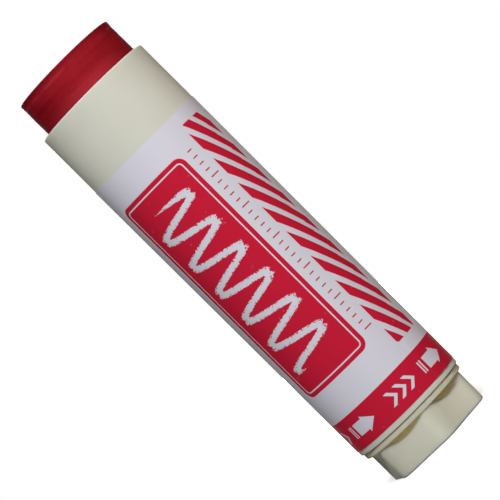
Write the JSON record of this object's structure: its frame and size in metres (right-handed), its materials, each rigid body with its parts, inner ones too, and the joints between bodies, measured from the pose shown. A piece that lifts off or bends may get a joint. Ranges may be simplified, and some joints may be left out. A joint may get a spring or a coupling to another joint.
{
  "type": "twist crayon",
  "caption": "Twist-up marking crayon: waxy crayon in a labelled moulded tube, fed by a left-hand screw that a hexagonal knob turns at the base.",
  "frame": {"origin": "middle of the knob's foot, on the surface that the crayon stands on", "axes": "+Z along the tube from the knob to the crayon's tip; -Y faces the label's printed front"},
  "size_m": [0.0324, 0.0324, 0.1256],
  "materials": {
    "ivory_plastic": "satin ivory moulded polyethylene",
    "label_film": "white wrap film, red print",
    "screw_plastic": "plain natural moulding",
    "red_wax": "dark red paint wax, faint smear marks"
  },
  "bodies": {
    "barrel": {"barrel": "ivory_plastic", "label": "label_film"},
    "knob": {"twist_knob": "ivory_plastic", "lead_screw": "screw_plastic"},
    "feed": {"carriage": "screw_plastic", "crayon": "red_wax"}
  },
  "joints": [
    {"name": "knob_twist", "type": "hinge", "parent": "barrel", "child": "knob", "pos_m": [0, 0, 0.01125], "axis": [0, 0, 1], "range_deg": [-692, 4667]},
    {"name": "crayon_feed", "type": "slide", "parent": "barrel", "child": "feed", "axis": [0, 0, 1], "range_m": [-0.0096, 0.0648]}
  ],
  "couplings": [
    {"joint": "knob_twist", "follows": "crayon_feed", "rad_per_m": 1256.6}
  ]
}
